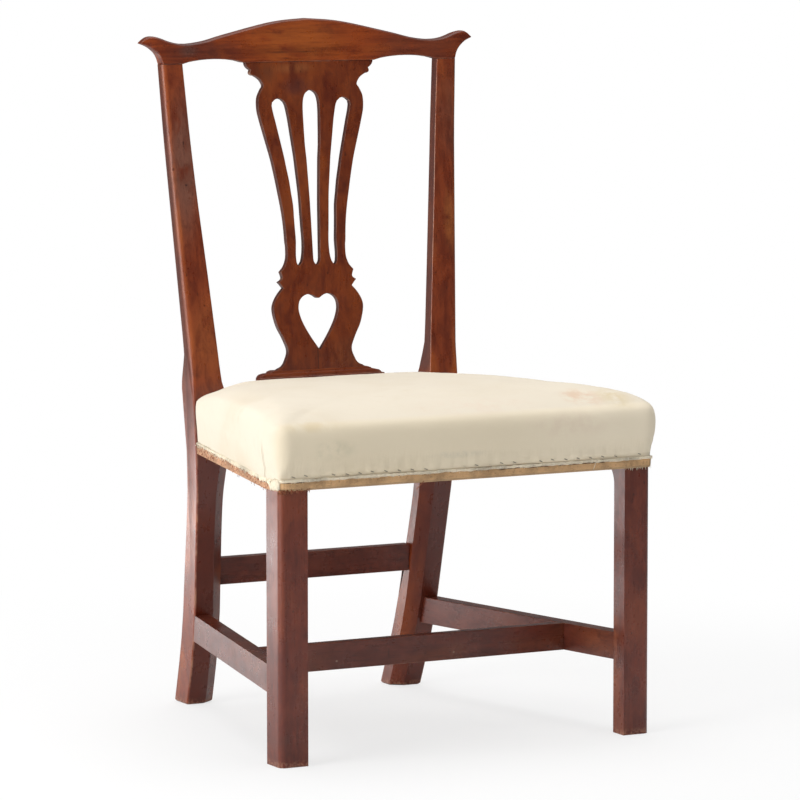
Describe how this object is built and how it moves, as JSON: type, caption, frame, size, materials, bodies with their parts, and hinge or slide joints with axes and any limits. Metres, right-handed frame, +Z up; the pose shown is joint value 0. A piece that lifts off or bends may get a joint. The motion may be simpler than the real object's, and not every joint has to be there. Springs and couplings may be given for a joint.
{
  "type": "side chair",
  "caption": "Wooden side chair with a pierced scrolled splat, a shaped crest rail with out-curved ears, square legs joined by stretchers, and a seat padded over its rails in plain muslin.",
  "frame": {"origin": "middle of the bounding box, on the floor under the chair", "axes": "+X across the chair to the right as seen from its front, +Y from its front to its back, +Z up; left in a node's name is the side of -X"},
  "size_m": [0.582, 0.5442, 0.96],
  "materials": {
    "mahogany": "old polish, satin, worn on the edges",
    "secondary_wood": "plain, unpolished",
    "muslin": "plain weave, undyed, stained",
    "edge_webbing": "worn, with old tack holes",
    "jute_webbing": "coarse weave",
    "sackcloth": "open coarse weave",
    "stuffing": "loose fibre",
    "tack_steel": "dark, dull"
  },
  "bodies": {
    "root": {"crest_rail": "mahogany", "splat": "mahogany", "shoe": "mahogany", "left_back_post": "mahogany", "right_back_post": "mahogany", "front_left_leg": "mahogany", "front_right_leg": "mahogany", "front_seat_rail": "secondary_wood", "rear_seat_rail": "secondary_wood", "left_seat_rail": "secondary_wood", "right_seat_rail": "secondary_wood", "left_side_stretcher": "mahogany", "right_side_stretcher": "mahogany", "medial_stretcher": "mahogany", "rear_stretcher": "mahogany", "front_left_block": "secondary_wood", "front_right_block": "secondary_wood", "rear_left_block": "secondary_wood", "rear_right_block": "secondary_wood", "long_webbing_left": "jute_webbing", "long_webbing_middle": "jute_webbing", "long_webbing_right": "jute_webbing", "cross_webbing_front": "jute_webbing", "cross_webbing_middle": "jute_webbing", "cross_webbing_rear": "jute_webbing", "webbing_tacks": "tack_steel", "sackcloth": "sackcloth", "stuffing_pad": "stuffing", "seat_cover": "muslin", "front_edge_band": "edge_webbing", "left_edge_band": "edge_webbing", "right_edge_band": "edge_webbing", "cover_tacks": "tack_steel", "shoe_nails": "tack_steel", "rail_pegs": "secondary_wood"}
  },
  "joints": []
}
